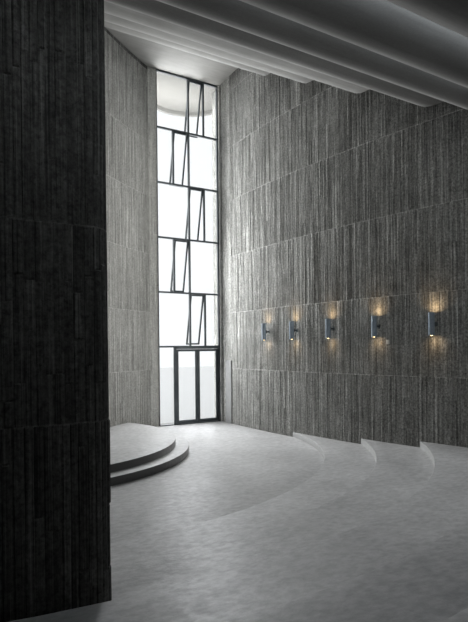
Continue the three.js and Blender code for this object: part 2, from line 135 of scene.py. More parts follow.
# Materials
class Shader:
    """A material under construction, with short calls for its nodes."""

    def __init__(self, name):
        self.material = bpy.data.materials.new(name)
        self.material.use_nodes = True
        self.tree = self.material.node_tree
        self.surface = self.tree.nodes["Principled BSDF"]

    def node(self, kind, inputs=None, **settings):
        made = self.tree.nodes.new(kind)
        for key, value in settings.items():
            setattr(made, key, value)
        for key, value in (inputs or {}).items():
            self.feed(made.inputs[key], value)
        return made

    def feed(self, socket, value):
        if isinstance(value, bpy.types.NodeSocket):
            self.tree.links.new(value, socket)
        else:
            socket.default_value = value

    def set(self, key, value):
        self.feed(self.surface.inputs[key], value)

    def object_space(self, scale=(1.0, 1.0, 1.0)):
        coordinates = self.node("ShaderNodeTexCoord").outputs["Object"]
        return self.scaled(coordinates, scale)

    def wall_space(self, scale, shift=None):
        """Distance along the wall and height, in metres."""
        coordinates = self.node("ShaderNodeUVMap", uv_map="wall").outputs["UV"]
        if shift is not None:
            inputs = {0: coordinates, 1: shift}
            coordinates = self.node("ShaderNodeVectorMath", inputs).outputs["Vector"]
        return self.scaled(coordinates, scale)

    def scaled(self, coordinates, scale):
        mapping = self.node("ShaderNodeMapping", {"Vector": coordinates, "Scale": scale})
        return mapping.outputs["Vector"]

    def attribute(self, name):
        return self.node("ShaderNodeAttribute", attribute_name=name).outputs["Fac"]

    def noise(self, space, detail, scale=1.0, roughness=0.55):
        inputs = {"Vector": space, "Scale": scale, "Detail": detail, "Roughness": roughness}
        return self.node("ShaderNodeTexNoise", inputs).outputs["Fac"]

    def leaning(self, full, none):
        """1 where the normal's z is below the first limit, 0 where it is above the second."""
        normal = self.node("ShaderNodeNewGeometry").outputs["Normal"]
        level = self.node("ShaderNodeSeparateXYZ", {"Vector": normal}).outputs["Z"]
        return self.range(self.math("ABSOLUTE", level), full, none, 1.0, 0.0)

    def math(self, operation, a, b=0.0, clamp=False):
        made = self.node("ShaderNodeMath", {0: a, 1: b}, operation=operation, use_clamp=clamp)
        return made.outputs["Value"]

    def range(self, value, low, high, to_low=0.0, to_high=1.0):
        inputs = {"Value": value, "From Min": low, "From Max": high}
        inputs.update({"To Min": to_low, "To Max": to_high})
        return self.node("ShaderNodeMapRange", inputs).outputs["Result"]

    def mix(self, factor, first, second):
        """A blend of two colours. The colour sockets of the node go by number."""
        made = self.node("ShaderNodeMix", data_type="RGBA")
        self.feed(made.inputs["Factor"], factor)
        self.feed(made.inputs[6], first)
        self.feed(made.inputs[7], second)
        return made.outputs[2]

    def tinted(self, value, red, green, blue):
        """A grey level with its tint."""
        return self.mix(value, colour(0.0, 0.0, 0.0), colour(red, green, blue))

    def bump(self, height, distance, strength=1.0, under=None):
        inputs = {"Height": height, "Distance": distance, "Strength": strength}
        if under is not None:
            inputs["Normal"] = under
        return self.node("ShaderNodeBump", inputs).outputs["Normal"]


def colour(red, green, blue):
    return (red, green, blue, 1.0)


def concrete_material(name, dark, light, contrast=1.0, seams=0.9):
    """Board-marked concrete: speckled, with upright fibres, cracks, thin ridges and stains."""
    shader = Shader(name)
    tone = shader.attribute("tone")
    pale = shader.attribute("pale")
    roof_shade = shader.attribute("roof_shade")
    shift = shader.math("MULTIPLY", tone, 37.0)
    fibre = shader.noise(shader.wall_space((62.0, 1.3, 1.0), shift), detail=5.0, roughness=0.75)
    crack = shader.noise(shader.wall_space((52.0, 0.5, 1.0), shift), detail=2.0)
    speckle = shader.noise(shader.object_space(), scale=26.0, detail=5.0, roughness=0.75)
    blotch = shader.noise(shader.wall_space((5.0, 3.0, 1.0)), detail=6.0, roughness=0.7)
    stain = shader.noise(shader.wall_space((0.8, 0.45, 1.0)), detail=5.0, roughness=0.6)
    joint = shader.noise(shader.wall_space((3.0, 40.0, 1.0)), detail=3.0)
    uneven = shader.noise(shader.wall_space((0.7, 0.9, 1.0)), detail=4.0, roughness=0.6)
    # painted shade under the roof, broken into soft patches by an uneven noise
    shaded = shader.math("MULTIPLY", roof_shade, shader.range(uneven, 0.38, 0.62, 0.55, 1.5))
    value = shader.range(tone, 0.0, 1.0, dark, light)
    for pattern, low, high, to_low, to_high in [
        (fibre, 0.3, 0.7, 0.6, 1.35),
        (speckle, 0.35, 0.65, 0.45, 1.55),
        (blotch, 0.3, 0.7, 0.7, 1.3),
        (stain, 0.4, 0.7, 1.1, 0.75),
        (crack, 0.34, 0.42, 0.45, 1.0),
    ]:
        to_low = 1.0 + (to_low - 1.0) * contrast
        to_high = 1.0 + (to_high - 1.0) * contrast
        value = shader.math("MULTIPLY", value, shader.range(pattern, low, high, to_low, to_high))
    # the painted roof shade darkens the wall, at most to a quarter
    value = shader.math("MULTIPLY", value, shader.range(shaded, 0.0, 1.0, 1.0, 0.25))
    ridge = shader.range(crack, 0.60, 0.68, 0.0, 0.6 * contrast * light)
    seam = shader.math("MULTIPLY", pale, shader.range(joint, 0.38, 0.58, 0.0, seams * light))
    value = shader.math("ADD", value, ridge)
    value = shader.math("ADD", value, seam, clamp=True)
    shader.set("Base Color", shader.tinted(value, 1.0, 0.995, 0.94))
    shader.set("Roughness", shader.range(speckle, 0.3, 0.7, 0.8, 0.96))
    shader.set("Specular IOR Level", 0.2)
    relief = shader.bump(crack, 0.012, 0.8, shader.bump(fibre, 0.005))
    shader.set("Normal", shader.bump(speckle, 0.008, 0.8, relief))
    return shader.material


def plaster_material(name, soffit, nose):
    """Smooth render with faint trowel clouds. The nose is painted lighter as a painted highlight
    and the soffit darker as painted shade.
    """
    shader = Shader(name)
    space = shader.object_space()
    cloud = shader.noise(space, scale=0.9, detail=5.0)
    fine = shader.noise(space, scale=38.0, detail=4.0, roughness=0.65)
    drag = shader.noise(shader.object_space((0.7, 9.0, 9.0)), scale=2.0, detail=3.0)
    # painted highlight on the noses, painted shade on the soffits, by how far each face turns from
    # level
    value = shader.range(shader.leaning(0.9, 0.9995), 0.0, 1.0, soffit, nose)
    value = shader.math("MULTIPLY", value, shader.range(cloud, 0.35, 0.7, 0.87, 1.13))
    value = shader.math("MULTIPLY", value, shader.range(drag, 0.4, 0.7, 1.04, 0.93))
    shader.set("Base Color", shader.tinted(value, 1.0, 0.99, 0.95))
    shader.set("Roughness", shader.range(fine, 0.3, 0.7, 0.7, 0.9))
    shader.set("Normal", shader.bump(drag, 0.004, 0.5, shader.bump(fine, 0.001, 0.5)))
    return shader.material


def cement_material(name, dark, light, riser_shade):
    """Trowelled cement with ripples and a soft, uneven sheen. Its risers get their own grey, which
    is painted shade.
    """
    shader = Shader(name)
    space = shader.object_space()
    cloud = shader.noise(space, scale=0.9, detail=6.0, roughness=0.6)
    sweep = shader.noise(shader.object_space((8.0, 13.0, 6.0)), scale=1.3, detail=6.0)
    fine = shader.noise(space, scale=60.0, detail=3.0, roughness=0.7)
    value = shader.range(cloud, 0.32, 0.7, dark, light)
    value = shader.math("MULTIPLY", value, shader.range(sweep, 0.35, 0.65, 0.88, 1.14))
    value = shader.math("MULTIPLY", value, shader.range(fine, 0.3, 0.7, 0.93, 1.07))
    trowelled = shader.tinted(value, 1.0, 1.0, 1.0)
    # painted shade: the upright faces take the riser grey instead of the trowelled tone
    upright = colour(riser_shade, riser_shade, 0.98 * riser_shade)
    shader.set("Base Color", shader.mix(shader.leaning(0.3, 0.8), trowelled, upright))
    shader.set("Roughness", shader.range(sweep, 0.3, 0.72, 0.46, 0.3))
    shader.set("Specular IOR Level", 0.5)
    shader.set("Normal", shader.bump(sweep, 0.007, 0.7, shader.bump(fine, 0.0012, 0.5)))
    return shader.material


def steel_material():
    """Dark blue-grey paint on steel, a little worn and dusty."""
    shader = Shader("painted_steel")
    shader.set("Metallic", 0.3)
    space = shader.object_space()
    dust = shader.noise(space, scale=2.2, detail=6.0, roughness=0.7)
    fine = shader.noise(space, scale=160.0, detail=3.0)
    base = shader.mix(
        shader.range(dust, 0.4, 0.75),
        colour(0.040, 0.050, 0.057),
        colour(0.105, 0.118, 0.125),
    )
    shader.set("Base Color", base)
    shader.set("Roughness", shader.range(dust, 0.35, 0.75, 0.38, 0.6))
    shader.set("Normal", shader.bump(fine, 0.0004, 0.5))
    return shader.material


def glass_material():
    """Clear float glass with a faint film of dust."""
    shader = Shader("clear_glass")
    dust = shader.noise(shader.object_space(), scale=1.7, detail=5.0, roughness=0.65)
    tint = shader.mix(
        shader.range(dust, 0.4, 0.7),
        colour(0.80, 0.87, 0.88),
        colour(0.90, 0.93, 0.93),
    )
    shader.set("Base Color", tint)
    shader.set("Roughness", shader.range(dust, 0.4, 0.75, 0.02, 0.09))
    shader.set("Alpha", 0.1)
    shader.set("Specular IOR Level", 0.8)
    shader.material.surface_render_method = "BLENDED"
    return shader.material


def lamp_metal_material():
    """Satin blue-grey coat on rolled metal."""
    shader = Shader("lamp_coat")
    shader.set("Metallic", 0.55)
    brushed = shader.noise(shader.object_space((90.0, 90.0, 2.0)), scale=2.0, detail=3.0)
    worn = shader.noise(shader.object_space(), scale=9.0, detail=5.0, roughness=0.7)
    base = shader.mix(
        shader.range(worn, 0.4, 0.75),
        colour(0.30, 0.36, 0.43),
        colour(0.44, 0.50, 0.56),
    )
    shader.set("Base Color", base)
    shader.set("Roughness", shader.range(brushed, 0.3, 0.7, 0.28, 0.46))
    shader.set("Normal", shader.bump(brushed, 0.0003, 0.4))
    return shader.material


def lamp_glow_material():
    """Frosted lamp, lit warm, with a faint mottle."""
    shader = Shader("lamp_glow")
    shader.set("Roughness", 0.4)
    frost = shader.noise(shader.object_space(), scale=60.0, detail=3.0)
    warm = shader.mix(frost, colour(1.0, 0.62, 0.26), colour(1.0, 0.74, 0.40))
    shader.set("Base Color", warm)
    shader.set("Emission Color", warm)
    shader.set("Emission Strength", 9.0)
    return shader.material


def panel_material():
    """Matt grey paint, lightly mottled."""
    shader = Shader("matt_panel_paint")
    shader.set("Specular IOR Level", 0.1)
    mottle = shader.noise(shader.object_space(), scale=5.0, detail=6.0, roughness=0.7)
    peel = shader.noise(shader.object_space(), scale=220.0, detail=2.0)
    base = shader.mix(
        shader.range(mottle, 0.35, 0.7),
        colour(0.225, 0.225, 0.225),
        colour(0.285, 0.285, 0.283),
    )
    shader.set("Base Color", base)
    shader.set("Roughness", shader.range(mottle, 0.35, 0.7, 0.75, 0.9))
    shader.set("Normal", shader.bump(peel, 0.0003, 0.4))
    return shader.material


def plastic_material():
    """White moulded plastic, slightly yellowed in places."""
    shader = Shader("white_plastic")
    aged = shader.noise(shader.object_space(), scale=14.0, detail=4.0)
    moulded = shader.noise(shader.object_space(), scale=400.0, detail=2.0)
    base = shader.mix(
        shader.range(aged, 0.35, 0.7),
        colour(0.52, 0.52, 0.50),
        colour(0.44, 0.435, 0.40),
    )
    shader.set("Base Color", base)
    shader.set("Roughness", shader.range(aged, 0.3, 0.7, 0.36, 0.5))
    shader.set("Normal", shader.bump(moulded, 0.0002, 0.4))
    return shader.material


def stage_material():
    """Pale floor outside the building."""
    shader = Shader("pale_stage")
    shader.set("Roughness", 0.9)
    cloud = shader.noise(shader.object_space(), scale=0.3, detail=4.0)
    base = shader.mix(cloud, colour(0.78, 0.78, 0.77), colour(0.83, 0.83, 0.82))
    shader.set("Base Color", base)
    return shader.material


CONCRETE = concrete_material("board_marked_concrete", 0.21, 0.28)
SMOOTH_CONCRETE = concrete_material("smooth_concrete", 0.2, 0.44, contrast=0.6, seams=0.35)
# painted shade: the tongue wall's concrete is made nearly black
SHADED_CONCRETE = concrete_material("concrete_painted_shade", 0.045, 0.077)
PALE_PLASTER = plaster_material("pale_roof_render", 0.27, 0.31)
# painted shade: the soffits of the steps further in are far darker than their noses
PLASTER = plaster_material("roof_render", 0.075, 0.26)
# the risers' grey is painted shade; on the dais it is near black
CEMENT = cement_material("trowelled_cement", 0.31, 0.43, riser_shade=0.33)
PALE_CEMENT = cement_material("pale_cement", 0.38, 0.47, riser_shade=0.06)
STEEL = steel_material()
GLASS = glass_material()
LAMP_METAL = lamp_metal_material()
LAMP_GLOW = lamp_glow_material()
PANEL = panel_material()
PLASTIC = plastic_material()


# Pieces
def add_piece(name, mesh, material, replaced, body=BUILDING):
    piece = bpy.data.objects.new(name, mesh)
    bpy.context.scene.collection.objects.link(piece)
    mesh.materials.clear()
    mesh.materials.append(material)
    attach(piece, body)
    if replaced:
        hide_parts(*replaced)


def smooth_by_angle(mesh, degrees):
    """Smooth shading that keeps the edges sharper than the angle."""
    custom = mesh.attributes.get("custom_normal")
    if custom is not None:
        mesh.attributes.remove(custom)
    mesh.polygons.foreach_set("use_smooth", [True] * len(mesh.polygons))
    mesh.set_sharp_from_angle(angle=math.radians(degrees))


def add_shape(shape, name, material, body=BUILDING, replaced=(), degrees=32.0):
    """A smooth shaded piece from a finished shape, which is freed."""
    mesh = bpy.data.meshes.new(name)
    shape.to_mesh(mesh)
    shape.free()
    smooth_by_angle(mesh, degrees)
    add_piece(name, mesh, material, replaced, body)


def add_box(shape, low, high):
    size = Vector(high) - Vector(low)
    middle = (Vector(high) + Vector(low)) / 2
    matrix = Matrix.Translation(middle) @ Matrix.Diagonal((*size, 1.0))
    bmesh.ops.create_cube(shape, size=1.0, matrix=matrix)


def ease_edges(shape, edge, segments=2):
    """Round every edge that turns by more than 35 degrees."""
    sharp = [e for e in shape.edges if e.calc_face_angle(0.0) > math.radians(35.0)]
    bmesh.ops.bevel(
        shape,
        geom=sharp,
        offset=edge,
        segments=segments,
        profile=0.5,
        affect="EDGES",
        clamp_overlap=True,
    )


def bridge(shape, first, second):
    """Faces between two closed loops of points. A pole, repeated as a loop, gives triangles."""
    for i in range(len(first)):
        j = (i + 1) % len(first)
        corners = list(dict.fromkeys([first[i], first[j], second[j], second[i]]))
        if len(corners) > 2:
            shape.faces.new(corners)


def add_ring(shape, width, height, rail, low_y, high_y):
    """A rectangular frame with mitred corners, hung from its top left corner."""
    def corners(inset, y):
        places = [
            (inset, -height + inset),
            (width - inset, -height + inset),
            (width - inset, -inset),
            (inset, -inset),
        ]
        return [shape.verts.new((x, y, z)) for x, z in places]

    loops = [corners(0.0, low_y), corners(0.0, high_y), corners(rail, high_y), corners(rail, low_y)]
    for first, second in zip(loops, loops[1:] + loops[:1]):
        bridge(shape, first, second)
    bmesh.ops.recalc_face_normals(shape, faces=shape.faces)


def add_turned(shape, profile, segments=48):
    """A profile of (radius, height), turned about z."""
    loops = []
    for radius, height in profile:
        if radius == 0.0:
            loops.append([shape.verts.new((0.0, 0.0, height))] * segments)
            continue
        angles = [2 * math.pi * i / segments for i in range(segments)]
        loops.append([shape.verts.new((*(bearing(a) * radius), height)) for a in angles])
    for first, second in zip(loops, loops[1:]):
        bridge(shape, first, second)


def add_lamp(name, place, towards, size, power, tint, degrees=180.0):
    """An area light that isn't seen itself: a rectangle, or a disk if it has one size."""
    light = bpy.data.lights.new(name, "AREA")
    light.shape = "RECTANGLE" if len(size) > 1 else "DISK"
    light.size = size[0]
    light.size_y = size[-1]
    light.energy = power
    light.color = tint
    light.spread = math.radians(degrees)
    lamp = bpy.data.objects.new(name, light)
    lamp.location = place
    lamp.rotation_euler = (Vector(towards) - Vector(place)).to_track_quat("-Z", "Y").to_euler()
    lamp.visible_camera = False
    bpy.context.scene.collection.objects.link(lamp)
    return lamp


def softened(node, material, edge, segments=2, body=BUILDING, change=None):
    """A copy of a CAD node's shape with its edges eased, shown in its place."""
    shape = bmesh.new()
    shape.from_mesh(nodes[node].data)
    bmesh.ops.remove_doubles(shape, verts=shape.verts, dist=0.0001)
    if change is not None:
        change(shape)
    bmesh.ops.dissolve_limit(
        shape,
        angle_limit=math.radians(1.0),
        verts=shape.verts,
        edges=shape.edges,
    )
    ease_edges(shape, edge, segments)
    add_shape(shape, f"{node}_finish", material, body, [node])


class Sheet:
    """Collects the faces of one mesh, with a wall coordinate, tone, paleness and painted roof
    shade.
    """

    LOWEST_FACE = 0.0005

    def __init__(self):
        self.points = []
        self.faces = []
        self.spots = []
        self.tones = []
        self.pales = []
        self.roof_shades = []

    def grid(self, rows, tone):
        """Faces between rows of (point, spot, pale, roof_shade), each row as long as the next."""
        first = len(self.points)
        width = len(rows[0])
        for row in rows:
            for point, spot, pale, roof_shade in row:
                self.points.append(point)
                self.spots.append(spot)
                self.tones.append(tone)
                self.pales.append(pale)
                self.roof_shades.append(roof_shade)
        for j in range(len(rows) - 1):
            for i in range(width - 1):
                corner = first + j * width + i
                face = [corner, corner + 1, corner + width + 1, corner + width]
                if self.has_height(face):
                    self.faces.append(face)

    def has_height(self, face):
        """False for the slivers where a board is cut off by the wall's top."""
        low_left, low_right, high_right, high_left = [self.points[k] for k in face]
        sides = [high_left - low_left, high_right - low_right]
        return max(side.length for side in sides) > self.LOWEST_FACE

    def mesh(self, name):
        made = bpy.data.meshes.new(name)
        made.from_pydata(self.points, [], self.faces)
        corners = [0] * len(made.loops)
        made.loops.foreach_get("vertex_index", corners)
        wall = made.uv_layers.new(name="wall")
        flat = [value for k in corners for value in self.spots[k]]
        wall.uv.foreach_set("vector", flat)
        for key, values in [("tone", self.tones), ("pale", self.pales), ("roof_shade", self.roof_shades)]:
            made.attributes.new(key, "FLOAT", "POINT").data.foreach_set("value", values)
        made.update()
        return made


# Board marks
class Look:
    """How the boards of a face differ: widths, crown, fins, broken lengths and tones."""

    def __init__(self, widths, crown, fins, breaks, spread, tones=(0.0, 1.0)):
        self.widths = widths
        self.crown = crown
        self.fins = fins
        self.breaks = breaks
        self.spread = spread
        self.tones = tones


INSIDE = Look(widths=(0.024, 0.052), crown=0.0015, fins=0.45, breaks=0.4, spread=0.0028)
SMOOTHER = Look(
    widths=(0.04, 0.08),
    crown=0.001,
    fins=0.2,
    breaks=0.3,
    spread=0.002,
    tones=(0.15, 0.42),
)
OUTSIDE, LEFT_OUTSIDE = [
    Look(widths=(0.075, 0.13), crown=0.001, fins=0.2, breaks=0.3, spread=0.003, tones=tones)
    for tones in [(0.0, 1.0), (0.0, 0.35)]
]
TONGUE = Look(widths=(0.055, 0.08), crown=0.007, fins=0.05, breaks=1.6, spread=0.004)


def board_lines(length, look, rng):
    """Lines between boards as (place along the face, depth, paleness)."""
    places = [0.0]
    while length - places[-1] > 1.6 * look.widths[1]:
        places.append(places[-1] + rng.uniform(*look.widths))
    places.append(length)
    lines = []
    for place in places:
        if 0.0 < place < length and rng.random() < look.fins:
            lines.append((place, rng.uniform(*FIN_HEIGHTS), rng.uniform(*FIN_PALENESS)))
        else:
            lines.append((place, -rng.uniform(*GAP_DEPTHS), 0.0))
    return lines


def board_rows(low, high, look, rng):
    """Stretches of one board between the joints, as pairs of (height, depth, paleness)."""
    joint = (JOINT_PROUD, 1.0)
    ends = [(low, *joint), (high, *joint)]
    breaks = int(look.breaks + rng.random())
    if high - low < SHORT_LIFT:
        breaks = 0
    for number in range(breaks):
        share = (number + rng.uniform(0.15, 0.85)) / breaks
        ends.insert(-1, (low + (high - low) * share, -BREAK_DEPTH, 0.0))
    return list(zip(ends, ends[1:]))


def add_board(sheet, place, lines, ends, top, look, rng):
    """One board's mark, eased to the lines beside it and the joints at its ends."""
    (left, left_depth, left_pale), (right, right_depth, right_pale) = lines
    (low, low_depth, low_pale), (high, high_depth, high_pale) = ends
    depth = rng.gauss(0.0, look.spread)
    depth = min(max(depth, -2 * look.spread), 2 * look.spread)
    tilt = 0.5 * look.spread * rng.uniform(-1.0, 1.0)
    darkest, lightest = look.tones
    tone = darkest + (lightest - darkest) * rng.betavariate(2.0, 2.0)
    columns = [
        (left, left_depth, left_pale),
        (left + LIP, depth + tilt, 0.0),
        ((left + right) / 2, depth + look.crown, 0.0),
        (right - LIP, depth - tilt, 0.0),
        (right, right_depth, right_pale),
    ]
    levels = [
        (low, low_depth, low_pale),
        (low + LAP, None, 0.0),
        (high - LAP, None, 0.0),
        (high, high_depth, high_pale),
    ]
    rows = []
    for level, level_depth, level_pale in levels:
        row = []
        for along, face_depth, face_pale in columns:
            proud = face_depth if level_depth is None else level_depth
            height = min(level, top(along))
            # painted shade, strongest at the wall's top under the roof
            roof_shade = max(0.0, 1.0 - (top(along) - height) / ROOF_SHADE_REACH)
            if top(along) == TOP_SOFFIT:
                roof_shade *= SHADE_BY_WINDOW
            if low > SHADOW_FROM:
                roof_shade = 1.0
            spot = (along + low * LIFT_SHIFT, height)
            row.append((place(along, proud, height), spot, max(level_pale, face_pale), roof_shade))
        rows.append(row)
    sheet.grid(rows, tone)


def add_board_marks(sheet, place, length, lifts, top, look, rng):
    for low, high in zip(lifts, lifts[1:]):
        lines = board_lines(length, look, rng)
        for pair in zip(lines, lines[1:]):
            for ends in board_rows(low, high, look, rng):
                add_board(sheet, place, pair, ends, top, look, rng)


def add_plain_strip(sheet, first, second, tone=0.5):
    """A plain face between two lines of points, one above the other or side by side."""
    rows = []
    for points in (first, second):
        row = []
        along = 0.0
        for i, point in enumerate(points):
            if i > 0:
                along += (first[i] - first[i - 1]).length
            across = (point - first[i]).xy.length
            row.append((point, (along, point.z + across), 0.0, 0.0))
        rows.append(row)
    sheet.grid(rows, tone)


def add_upright(sheet, ends, tops, tone=0.5):
    """A plain upright face between two plan points."""
    low = [plan(point, 0.0) for point in ends]
    high = [plan(point, top) for point, top in zip(ends, tops)]
    add_plain_strip(sheet, low, high, tone)


# Walls
def wall_top(y):
    """Height of a wall's top above the base, by its place along the plan's y."""
    if y > FIRST_STEP:
        return TOP_SOFFIT
    fall = (FIRST_STEP - y) * STEP_RISE / STEP_RUN
    return max(ROOF_TOP - fall, REAR_TOP)


class ArcWall:
    """A curved wall. Its outer face lies on its outward side, -1 towards the centre."""

    def __init__(self, centre, radius, outward, start, end, places):
        self.centre = centre
        self.radius = radius
        self.outward = outward
        self.start = start
        self.turn = 1.0 if end > start else -1.0
        self.length = abs(end - start) * radius
        self.places = places
        part = self.length / len(places)
        facet = part / round(part / FACET)
        inscribed = math.cos(facet / radius / 2)
        self.fit = inscribed if outward > 0 else 1.0

    def spot(self, along, out):
        """Plan point at a distance along the inner face and outwards from it."""
        angle = self.start + self.turn * along / self.radius
        reach = (self.radius + self.outward * out) * self.fit
        return self.centre + bearing(angle) * reach

    def top(self, along, out):
        return wall_top(self.spot(along, out).y)

    def along_from(self, y):
        """Distance along the inner face of the right wall to a plan y."""
        return (math.pi - math.asin((y - self.centre.y) / self.radius) - self.start) * self.radius

    def along_at(self, y, out):
        """Distance along the inner face where the wall's end is cut off at a plan y."""
        reach = (self.radius + out) * self.fit
        angle = -math.pi - math.asin((y - self.centre.y) / reach)
        return (self.start - angle) * self.radius


def add_wall_part(wall, number, seed, outer_end, margin):
    """The marked faces and the plain top of one part of a wall, as a Sheet.

    The marks on the inside start after the margin. The outside ends at outer_end, where the
    part's end is cut off at a slant, or with the inside where that is None.
    """
    rng = random.Random(seed)
    sheet = Sheet()
    part = wall.length / len(wall.places)
    begin = part * number
    outer_part = part if outer_end is None else outer_end - begin
    inner_look, outer_look, lifts = INSIDE, OUTSIDE, WALL_LIFTS
    if wall is left_wall:
        inner_look, outer_look, lifts = SMOOTHER, LEFT_OUTSIDE, LEFT_LIFTS
    for out, proud_side, look, first, last in [
        (0.0, -1, inner_look, begin + margin, begin + part),
        (WALL, 1, outer_look, begin, begin + outer_part),
    ]:

        def place(along, proud, height):
            return plan(wall.spot(first + along, out + proud_side * proud), height)

        def top(along):
            return wall.top(first + along, out)

        add_board_marks(sheet, place, last - first, lifts, top, look, rng)
    count = 24
    inner = [begin + part * i / count for i in range(count + 1)]
    outer = [begin + outer_part * i / count for i in range(count + 1)]
    add_plain_strip(
        sheet,
        [plan(wall.spot(a, 0.0), wall.top(a, 0.0)) for a in inner],
        [plan(wall.spot(a, WALL), wall.top(a, WALL)) for a in outer],
    )
    return sheet


def add_wall_end(sheet, wall, inner_along, outer_along):
    """A plain upright end between the faces."""
    ends = [wall.spot(inner_along, 0.0), wall.spot(outer_along, WALL)]
    add_upright(sheet, ends, [wall_top(point.y) for point in ends])


def add_margin(sheet, wall, end):
    """The plain margin beside the window, with an upright groove."""
    groove_start, groove_end = [wall.along_from(y) for y in GROOVE]
    columns = [
        (0.0, 0.0),
        (groove_start, 0.0),
        (groove_start, GROOVE_DEPTH),
        (groove_end, GROOVE_DEPTH),
        (groove_end, 0.0),
        (end, 0.0),
    ]
    for pair in zip(columns, columns[1:]):
        ends = [wall.spot(along, depth) for along, depth in pair]
        add_upright(sheet, ends, [TOP_SOFFIT, TOP_SOFFIT], tone=1.0)


right_from = math.pi - math.asin((RIGHT_FRONT - RIGHT_CENTRE.y) / RIGHT_RADIUS)
right_to = math.pi - math.asin((RIGHT_REAR - RIGHT_CENTRE.y) / RIGHT_RADIUS)
rear_centre = RIGHT_CENTRE + bearing(right_to) * (RIGHT_RADIUS + REAR_RADIUS)
rear_to = -math.pi - math.asin((TONGUE_BACK - rear_centre.y) / REAR_RADIUS)
left_centre = LEFT_START + bearing(LEFT_HEADING + math.pi / 2) * LEFT_RADIUS
left_to = math.pi - math.asin((TONGUE_BACK - left_centre.y) / LEFT_RADIUS)

right_wall = ArcWall(
    RIGHT_CENTRE,
    RIGHT_RADIUS,
    -1,
    right_from,
    right_to,
    ["right_wall_front", "right_wall_middle", "right_wall_rear"],
)
rear_wall = ArcWall(
    rear_centre,
    REAR_RADIUS,
    1,
    right_to - math.pi,
    rear_to,
    ["rear_wall_1", "rear_wall_2", "rear_wall_3", "rear_wall_4"],
)
left_wall = ArcWall(
    left_centre,
    LEFT_RADIUS,
    1,
    LEFT_HEADING - math.pi / 2,
    left_to,
    ["left_wall_front", "left_wall_middle", "left_wall_rear"],
)


def add_left_jamb(sheet):
    """The wall's square end beside the window."""
    outer = left_wall.spot(0.0, WALL)
    rise = (JAMB_X - outer.x) * math.tan(LEFT_HEADING)
    corners = [
        left_wall.spot(0.0, 0.0),
        Vector((JAMB_X, 0.0)),
        Vector((JAMB_X, outer.y + rise)),
        outer,
    ]
    for ends in zip(corners, corners[1:]):
        add_upright(sheet, ends, [TOP_SOFFIT, TOP_SOFFIT], tone=1.0)


def build_walls():
    seed = 11
    for wall in (right_wall, rear_wall, left_wall):
        for number, node in enumerate(wall.places):
            outer_end = None
            margin = 0.0
            if node == "rear_wall_4":
                outer_end = rear_wall.along_at(TONGUE_BACK, WALL)
            if node == "right_wall_front":
                margin = right_wall.along_from(MARGIN_END)
            sheet = add_wall_part(wall, number, seed, outer_end, margin)
            if node == "right_wall_front":
                add_margin(sheet, wall, margin)
                add_wall_end(sheet, wall, 0.0, 0.0)
            if node == "left_wall_front":
                add_left_jamb(sheet)
            if node == "left_wall_rear":
                add_wall_end(sheet, wall, wall.length, wall.length)
            if node == "rear_wall_4":
                add_wall_end(sheet, wall, wall.length, outer_end)
            mesh = sheet.mesh(f"{node}_boards")
            material = SMOOTH_CONCRETE if wall is left_wall else CONCRETE
            add_piece(f"{node}_boards", mesh, material, replaced=[node])
            seed += 1


def build_tongue():
    """Straight faces and a round nose, marked by narrow rounded strips."""
    radius = (TONGUE_FRONT - TONGUE_BACK) / 2
    centre = Vector((TONGUE_NOSE - radius, (TONGUE_FRONT + TONGUE_BACK) / 2))
    straight = centre.x - TONGUE_ROOT
    bend = math.pi * radius

    def spot(along, proud):
        reach = radius + proud
        if along < straight:
            return Vector((TONGUE_ROOT + along, centre.y - reach))
        if along > straight + bend:
            return Vector((centre.x - (along - straight - bend), centre.y + reach))
        return centre + bearing((along - straight) / radius - math.pi / 2) * reach

    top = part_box("tongue_wall")[1].z
    length = 2 * straight + bend
    sheet = Sheet()
    add_board_marks(
        sheet,
        lambda along, proud, height: plan(spot(along, proud), height),
        length,
        TONGUE_LIFTS,
        lambda along: top,
        TONGUE,
        random.Random(5),
    )
    count = 40
    steps = [i / count * length / 2 for i in range(count + 1)]
    near = [plan(spot(along, 0.0), top) for along in steps]
    far = [plan(spot(length - along, 0.0), top) for along in steps]
    add_plain_strip(sheet, near, far)
    root = [Vector((TONGUE_ROOT, TONGUE_BACK)), Vector((TONGUE_ROOT, TONGUE_FRONT))]
    add_upright(sheet, root, [top, top])
    mesh = sheet.mesh("tongue_wall_boards")
    # the tongue's dark concrete is painted shade
    add_piece("tongue_wall_boards", mesh, SHADED_CONCRETE, replaced=["tongue_wall"])


build_walls()
build_tongue()

# Roof, floor and dais
softened("roof_front", PALE_PLASTER, SLAB_EDGE)
for step in range(1, STEPS + 1):
    # steps further in take the render with painted shade on its soffits
    plaster = PALE_PLASTER if step <= PALE_STEPS else PLASTER
    softened(f"roof_step_{step}", plaster, SLAB_EDGE)
for node in ["floor", "floor_tiers", "floor_platform"]:
    softened(node, CEMENT, SLAB_EDGE, segments=3)
softened("dais", PALE_CEMENT, SLAB_EDGE, segments=3)


# Rim below the round tip of the front slab
TIP_CENTRE = Vector((-0.4, 0.93))
TIP_RADIUS = 1.355
TIP_TURN = (0.0, 2.44)       # the rim's ends, as angles about the centre
RIM_HEIGHT = 0.15
RIM_WIDTH = 0.09


